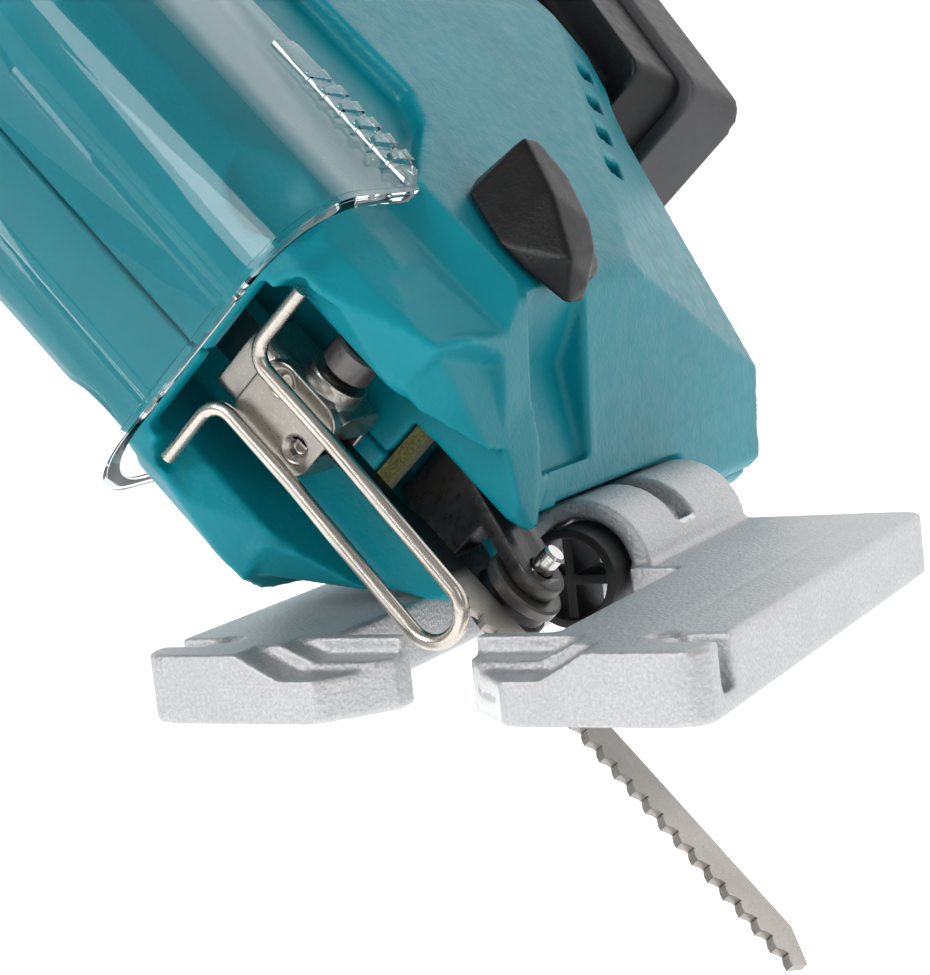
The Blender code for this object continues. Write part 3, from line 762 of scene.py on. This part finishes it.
def make_guard():
    """One bent bar: out of a pocket, down, round the loop and up again. Its lower part leans forward."""
    bend = (GUARD_HALF + GUARD_BEND, GUARD_TOP - GUARD_BEND)
    right = [(15.5, GUARD_TOP)] + arc_points(bend, GUARD_BEND, 90, 180, 12) + [(GUARD_HALF, GUARD_LEAN_START)]
    loop = arc_points((0, GUARD_HALF), GUARD_HALF, 0, -180, 24)
    route = right + loop + [(-x, z) for x, z in reversed(right)]
    path = [(x, GUARD_BACK - max(0.0, GUARD_LEAN_START - z) * GUARD_LEAN, z) for x, z in route]
    show("wire_guard_bar", swept(path, WIRE_RADIUS), TOOL_FRAME, WIRE, "housing", ["wire_guard"])


# --- Blade, clamp and roller -----------------------------------------------------------------------

TOOTH_PITCH = 2.8
TEETH = 25
BLADE_HALF_THICK = 0.6
PUNCHED_HOLES = ((-1.6, 32.6), (3.4, 39.6))
THREAD_PITCH = 0.56
THREAD_TURNS = 13


def blade_outline():
    """Hooked teeth along the front edge, a slanted tip, and a shank with two lugs."""
    points = []
    for tooth in range(TEETH):
        low = -56.8 + tooth * TOOTH_PITCH
        points += [(20.5, low), (20.9, low + 0.75), (21.7, low + 1.35), (22.0, low + 1.1), (21.5, low + 2.0)]
        points.append((20.75, low + 2.65))
    points += [(21.5, 16), (21.5, 32), (18.6, 33), (18.6, 37), (21.5, 38), (21.5, 41), (26, 41), (26, 38)]
    points += [(28.9, 37), (28.9, 33), (26, 32), (26, 18), (27, 16), (27, -53.5), (23.5, -58)]
    return points


def make_blade():
    """Flat blank of one thickness, from the tip to the top of the shank."""
    mesh = carved(prism(blade_outline(), "x", -BLADE_HALF_THICK, BLADE_HALF_THICK))
    show("saw_blade_ground", mesh, TOOL_FRAME, BLADE_STEEL, "blade", ["saw_blade"], 25)


def make_clamp():
    """Pressed clamp: rounded plate with two punched holes and a swelling round the screw's thread."""
    plate = prism(rounded((-6, 29.5), (6, 43.2), 3.6, 8), "y", 17.8, 19.6)
    hood = prism(rounded((-5.4, 19.2), (5.4, 30.2), 2.4, 6), "z", 30.2, 47.6)
    swell = ellipsoid((4.6, 22.6, 36), (3.8, 4.8, 4.2))
    boss = rod(4.2, "x", CLAMP_SCREW, 3, 7.6)
    shank_slot = block((-1.1, 18.3, 20), (1.1, 29.3, 41.6))
    cuts = [shank_slot, rod(2.3, "x", CLAMP_SCREW, 0.5, 12)]
    cuts += [rod(1.1, "y", (across, 0, up), 10, 19.4) for across, up in PUNCHED_HOLES]
    countersink = [(0, 17.9), (0, 16), (1.9, 16), (1.9, 17.8), (1.1, 18.6), (0, 18.6)]
    cuts += [turned(countersink, "y", (across, 0, up)) for across, up in PUNCHED_HOLES]
    steps = [("add", hood), ("add", swell), ("add", boss)] + [("cut", cut) for cut in cuts]
    mesh = carved(plate, *steps, voxel=0.16, relax=4, share=0.35)
    show("blade_clamp_pressing", mesh, TOOL_FRAME, PRESSED, "slider", ["blade_clamp"])


def make_clamp_bolt():
    """Socket-head screw: a thread of ridges, a chamfered head and a socket in its end."""
    thread = [(0, 1.2)]
    for turn in range(THREAD_TURNS):
        level = 1.2 + turn * THREAD_PITCH
        thread += [(1.7, level), (2.0, level + THREAD_PITCH / 2)]
    head = [(1.7, 8.6), (3.3, 8.6), (3.6, 8.9), (3.6, 12.2), (3.2, 12.6)]
    socket = [(1.9, 12.6), (1.75, 12.4), (1.75, 10.2), (0, 10.2)]
    bolt = carved(turned(thread + head + socket, "x", CLAMP_SCREW))
    show("clamp_bolt_socket_head", bolt, TOOL_FRAME, OXIDE, "clamp_screw", ["clamp_bolt"], 30)


def capsule(start, end, start_radius, end_radius):
    """Outline of an arm with round ends."""
    angle = math.degrees(math.atan2(end[1] - start[1], end[0] - start[0]))
    far = arc_points(end, end_radius, angle - 90, angle + 90, 16)
    near = arc_points(start, start_radius, angle + 90, angle + 270, 16)
    return far + near


def make_retainer():
    """Fork that hangs from its pin and carries the grooved roller."""
    arm = prism(capsule(FORK_PIVOT[1:], ROLLER_AXLE[1:], 4.2, 4.0), "x", -5.4, 5.4)
    gap = block((-3.0, 20, -20), (3.0, 60, 11))
    bores = [rod(1.75, "x", centre, -9, 9) for centre in (FORK_PIVOT, ROLLER_AXLE)]
    fork = carved(arm, ("cut", gap), *[("cut", bore) for bore in bores], edge=0.35)
    show("retainer_fork_arms", fork, TOOL_FRAME, OXIDE, "retainer", ["retainer_fork"], 30)
    groove = [(1.9, -2.7), (5.2, -2.7), (5.6, -2.4), (5.6, -1.1), (5.1, -0.7)]
    groove += [(radius, -level) for radius, level in reversed(groove)]
    wheel = carved(turned(groove, "x", ROLLER_AXLE, 64))
    show("guide_roller_wheel", wheel, TOOL_FRAME, OXIDE, "roller", ["guide_roller"], 30)
    pin_profile = [(0, -6.5), (1.3, -6.5), (1.55, -6.2), (1.55, 8.1), (1.25, 8.5), (0, 8.5)]
    pin = carved(turned(pin_profile, "x", ROLLER_AXLE, 40))
    show("roller_pin_turned", pin, TOOL_FRAME, BRIGHT, "retainer", ["roller_pin"], 30)


# --- Knob and battery ------------------------------------------------------------------------------

KNOB_SEAT = 28.5
BATTERY_GROOVES = 8
GROOVE_PITCH = 7


def make_knob():
    """Disc with a tall leaning ridge across it, which is the finger grip."""
    foot = [(46.8, 46.2), (42.4, 36.9), (42.4, 32), (45.2, 25.2), (50, 25), (60, 30), (63, 42), (58, 48)]
    foot.append((52, 48.5))
    crest = [(38.3, 52, 47), (37.2, 47.4, 37.2), (34.2, 43.2, 28.2), (38.4, 55, 46.2), (37.6, 56, 40)]
    crest += [(36.4, 53, 32.5), (34.8, 50.8, 28.6), (31.5, 48.5, 25.6)]
    ridge = hull([(KNOB_SEAT, back, up) for back, up in foot] + crest)
    disc = rod(9.5, "x", (0, 54, 37), 28.4, 31)
    mesh = carved(ridge, ("add", disc), voxel=0.35, relax=10, share=0.5)
    show("orbital_knob_moulding", mesh, TOOL_FRAME, BLACK, "lever", ["orbital_knob"])


def battery_groove(row):
    low = 12 + GROOVE_PITCH * row
    return block((-26, -0.8, low), (26, 3, low + 3))


def make_battery():
    """Two mouldings that leave room for the cells: the outer one grooved, the inner one with two rails."""
    place = TOOL_FRAME @ Matrix.Translation(BATTERY_FOOT) @ Matrix.Rotation(BATTERY_LEAN, 4, "X")
    rear_cuts = [block((-28.2, -30, 10), (28.2, -4.3, 82)), block((-10, -3.8, 74), (10, 5, 89))]
    rear_cuts += [battery_groove(row) for row in range(BATTERY_GROOVES)]
    rear = carved(prism(rounded((-31.5, 0), (31.5, 92), 5), "y", -14, 0),
                  *[("cut", cut) for cut in rear_cuts], voxel=0.6, relax=4, share=0.5)
    show("battery_case_rear_moulding", rear, place, GREY, "battery", ["battery_case_rear"],
         upright=True)
    rails = [side_block(side, (14, -34.4, 8), (22, -26, 80)) for side in (1, -1)]
    front = carved(prism(rounded((-29.6, 3), (29.6, 89), 4), "y", -27, -14.3),
                   *[("add", rail) for rail in rails],
                   ("cut", block((-28.2, -24, 10), (28.2, -10, 82))), voxel=0.6, relax=4, share=0.5)
    show("battery_case_front_moulding", front, place, BLACK, "battery", ["battery_case_front"],
         upright=True)


# --- Base ------------------------------------------------------------------------------------------

BASE_HALF = 38
BASE_LENGTH = 91.5
BASE_THICK = 8.8
PRONG_DEPTH = 11.6
BEVEL_AXIS = (0, 0, BEVEL_HEIGHT)


def prong_recess(side):
    """Stepped hollow at the inner end of a prong: a low floor in front and a shelf behind it."""
    floor = [(24, 10.8), (23.4, 8.6), (17.5, 5.4), (0, 5.6), (0, 12)]
    shelf = [(20.5, 10.8), (20, 8.6), (15.5, 6.6), (0, 6.6), (0, 12)]
    return [prism([(side * across, up) for across, up in floor], "y", -5, 5.2),
            prism([(side * across, up) for across, up in shelf], "y", 5, 9.4)]


def corner_pocket(side):
    """Slanted pocket at the outer front corner of a prong."""
    return hull(flipped([
        (31, 5.5, 9.5), (40, 5.5, 9.5), (31, 9.6, 9.5), (40, 9.6, 9.5), (40, 5.5, 2.4), (40, 9.6, 2.4),
        (36.2, 9.6, 2.4), (36.2, 6.5, 2.4)], side))


def make_base():
    """Cast plate with two prongs, a window, and the drum that the body tilts on."""
    blade_slot = prism(mirrored([(12.7, -2), (12.7, 0), (5.2, 7.5), (5.2, 12.6)]), "z", -5, 20)
    clamp_slot = [(0, BEVEL_HEIGHT)] + arc_points(BEVEL_AXIS[::2], 14, 27, 153, 24)
    steps = [("add", rod(10.3, "y", BEVEL_AXIS, 52.7, 91.1)), ("keep", block((-60, -20, 0), (60, 120, 40)))]
    cuts = [blade_slot, block((-15, PRONG_DEPTH, -5), (15, 51.7, 30))]
    for side in (1, -1):
        cuts += prong_recess(side)
    cuts += [corner_pocket(side) for side in (1, -1)]
    cuts += [rod(7.4, "y", BEVEL_AXIS, 40, 84), block((-7.4, 40, -5), (7.4, 83.9, BEVEL_HEIGHT))]
    cuts += [prism(clamp_slot, "y", 66.8, 73.2), prism([(28, 9.6), (29, 8.2), (30, 9.6)], "y", 20, 90)]
    cuts += [rod(1.6, "z", (side * 30, 9, 0), 7.9, 12) for side in (1, -1)]
    plate = prism(rounded((-BASE_HALF, 0), (BASE_HALF, BASE_LENGTH), 3.5), "z", 0, BASE_THICK)
    mesh = carved(plate, *steps, *[("cut", cut) for cut in cuts], voxel=0.45, relax=4, share=0.5)
    show("base_casting", mesh, BASE_FRAME, CAST, "base", ["base_plate"])


def make_nozzle():
    """Dust tube inside the drum, with two crossed ribs in its mouth."""
    ribs = [block((-6.4, 48.5, 7.2), (6.4, 57.5, 8.6)), block((-0.7, 48.5, 2), (0.7, 57.5, 14))]
    mesh = carved(tube(7.0, 5.7, "y", BEVEL_AXIS, 48, 58), *[("add", rib) for rib in ribs], edge=0.2)
    show("dust_nozzle_moulding", mesh, BASE_FRAME, BLACK, "base", ["dust_nozzle"], 30)


# --- Camera, light and floor -----------------------------------------------------------------------

VIEW_AZIMUTH = math.radians(28.13)
VIEW_ELEVATION = math.radians(6.66)
VIEW_ROLL = math.radians(6.5)
EYE = Vector((128.33, -220.2, 59.23))
FOCAL_SHARE = 2.2478
CENTRE_SHIFT = (0.00594, -0.01593)
LIT_POINT = (-0.03, -0.03, 0.05)
WORLD_STRENGTH = 0.26
FLOOR_GLOW = 0.7
FLOOR_HALF_WIDTH = 5.0
SWEEP_RADIUS = 1.2


def add_camera():
    """Camera at EYE, in the base frame, looking along the view angles and rolled about its axis."""
    forward = Vector((-math.sin(VIEW_AZIMUTH) * math.cos(VIEW_ELEVATION),
                      math.cos(VIEW_AZIMUTH) * math.cos(VIEW_ELEVATION), -math.sin(VIEW_ELEVATION)))
    right = Vector((math.cos(VIEW_AZIMUTH), math.sin(VIEW_AZIMUTH), 0.0))
    up = right.cross(forward)
    leaned_right = math.cos(VIEW_ROLL) * right - math.sin(VIEW_ROLL) * up
    leaned_up = math.sin(VIEW_ROLL) * right + math.cos(VIEW_ROLL) * up
    data = bpy.data.cameras.new("camera")
    data.sensor_width = 36.0
    data.lens = FOCAL_SHARE * data.sensor_width
    data.shift_x, data.shift_y = CENTRE_SHIFT
    data.clip_start = 0.01
    camera = bpy.data.objects.new("camera", data)
    turn = Matrix((leaned_right, leaned_up, -forward)).transposed().to_4x4()
    camera.matrix_world = Matrix.Translation(BASE_FRAME @ EYE) @ turn
    bpy.context.scene.collection.objects.link(camera)
    bpy.context.scene.camera = camera


def add_area(name, place, size, power):
    """Soft rectangular light aimed at the tool."""
    data = bpy.data.lights.new(name, "AREA")
    data.shape = "RECTANGLE"
    data.size, data.size_y = size
    data.energy = power
    light = bpy.data.objects.new(name, data)
    light.location = place
    light.rotation_euler = (Vector(LIT_POINT) - Vector(place)).to_track_quat("-Z", "Y").to_euler()
    bpy.context.scene.collection.objects.link(light)


def add_studio():
    """Even pale surroundings, three soft lights and the floor."""
    world = bpy.data.worlds.new("studio")
    world.use_nodes = True
    background = world.node_tree.nodes["Background"]
    background.inputs["Color"].default_value = (1, 1, 1, 1)
    background.inputs["Strength"].default_value = WORLD_STRENGTH
    bpy.context.scene.world = world
    add_area("key_light", (-0.25, -0.8, 0.55), (0.35, 0.45), 4.2)
    add_area("left_light", (-0.8, -0.2, 0.35), (0.2, 0.8), 0.4)
    add_area("right_light", (0.7, -0.45, 0.5), (0.25, 0.5), 0.5)
    add_floor()
    bpy.context.scene.view_settings.view_transform = "Standard"


def add_floor():
    """Pale sweep: flat below the tool and rising behind it, so that no horizon shows from the front."""
    level = cad_low[2] - 0.001
    sweep = arc_points((0, 0), SWEEP_RADIUS, -90, 0, 24)
    section = [(-3.0, level)] + [(1.0 + y, level + SWEEP_RADIUS + z) for y, z in sweep]
    section.append((1.0 + SWEEP_RADIUS, 4.0))
    bm = bmesh.new()
    rows = [[bm.verts.new((x, y, z)) for y, z in section] for x in (-FLOOR_HALF_WIDTH, FLOOR_HALF_WIDTH)]
    for index in range(len(section) - 1):
        bm.faces.new((rows[0][index], rows[1][index], rows[1][index + 1], rows[0][index + 1]))
    mesh = bpy.data.meshes.new("floor")
    bm.to_mesh(mesh)
    bm.free()
    mesh.shade_smooth()
    material, _, shader = new_material("floor_look")
    shader.inputs["Base Color"].default_value = (0.95, 0.95, 0.95, 1.0)
    shader.inputs["Roughness"].default_value = 0.9
    shader.inputs["Emission Color"].default_value = (1, 1, 1, 1)
    shader.inputs["Emission Strength"].default_value = FLOOR_GLOW
    mesh.materials.append(material)
    floor = bpy.data.objects.new("floor", mesh)
    bpy.context.scene.collection.objects.link(floor)


dress_frame()
make_housing()
make_cover()
make_guard()
make_blade()
make_clamp()
make_clamp_bolt()
make_retainer()
make_knob()
make_battery()
make_base()
make_nozzle()
add_camera()
add_studio()
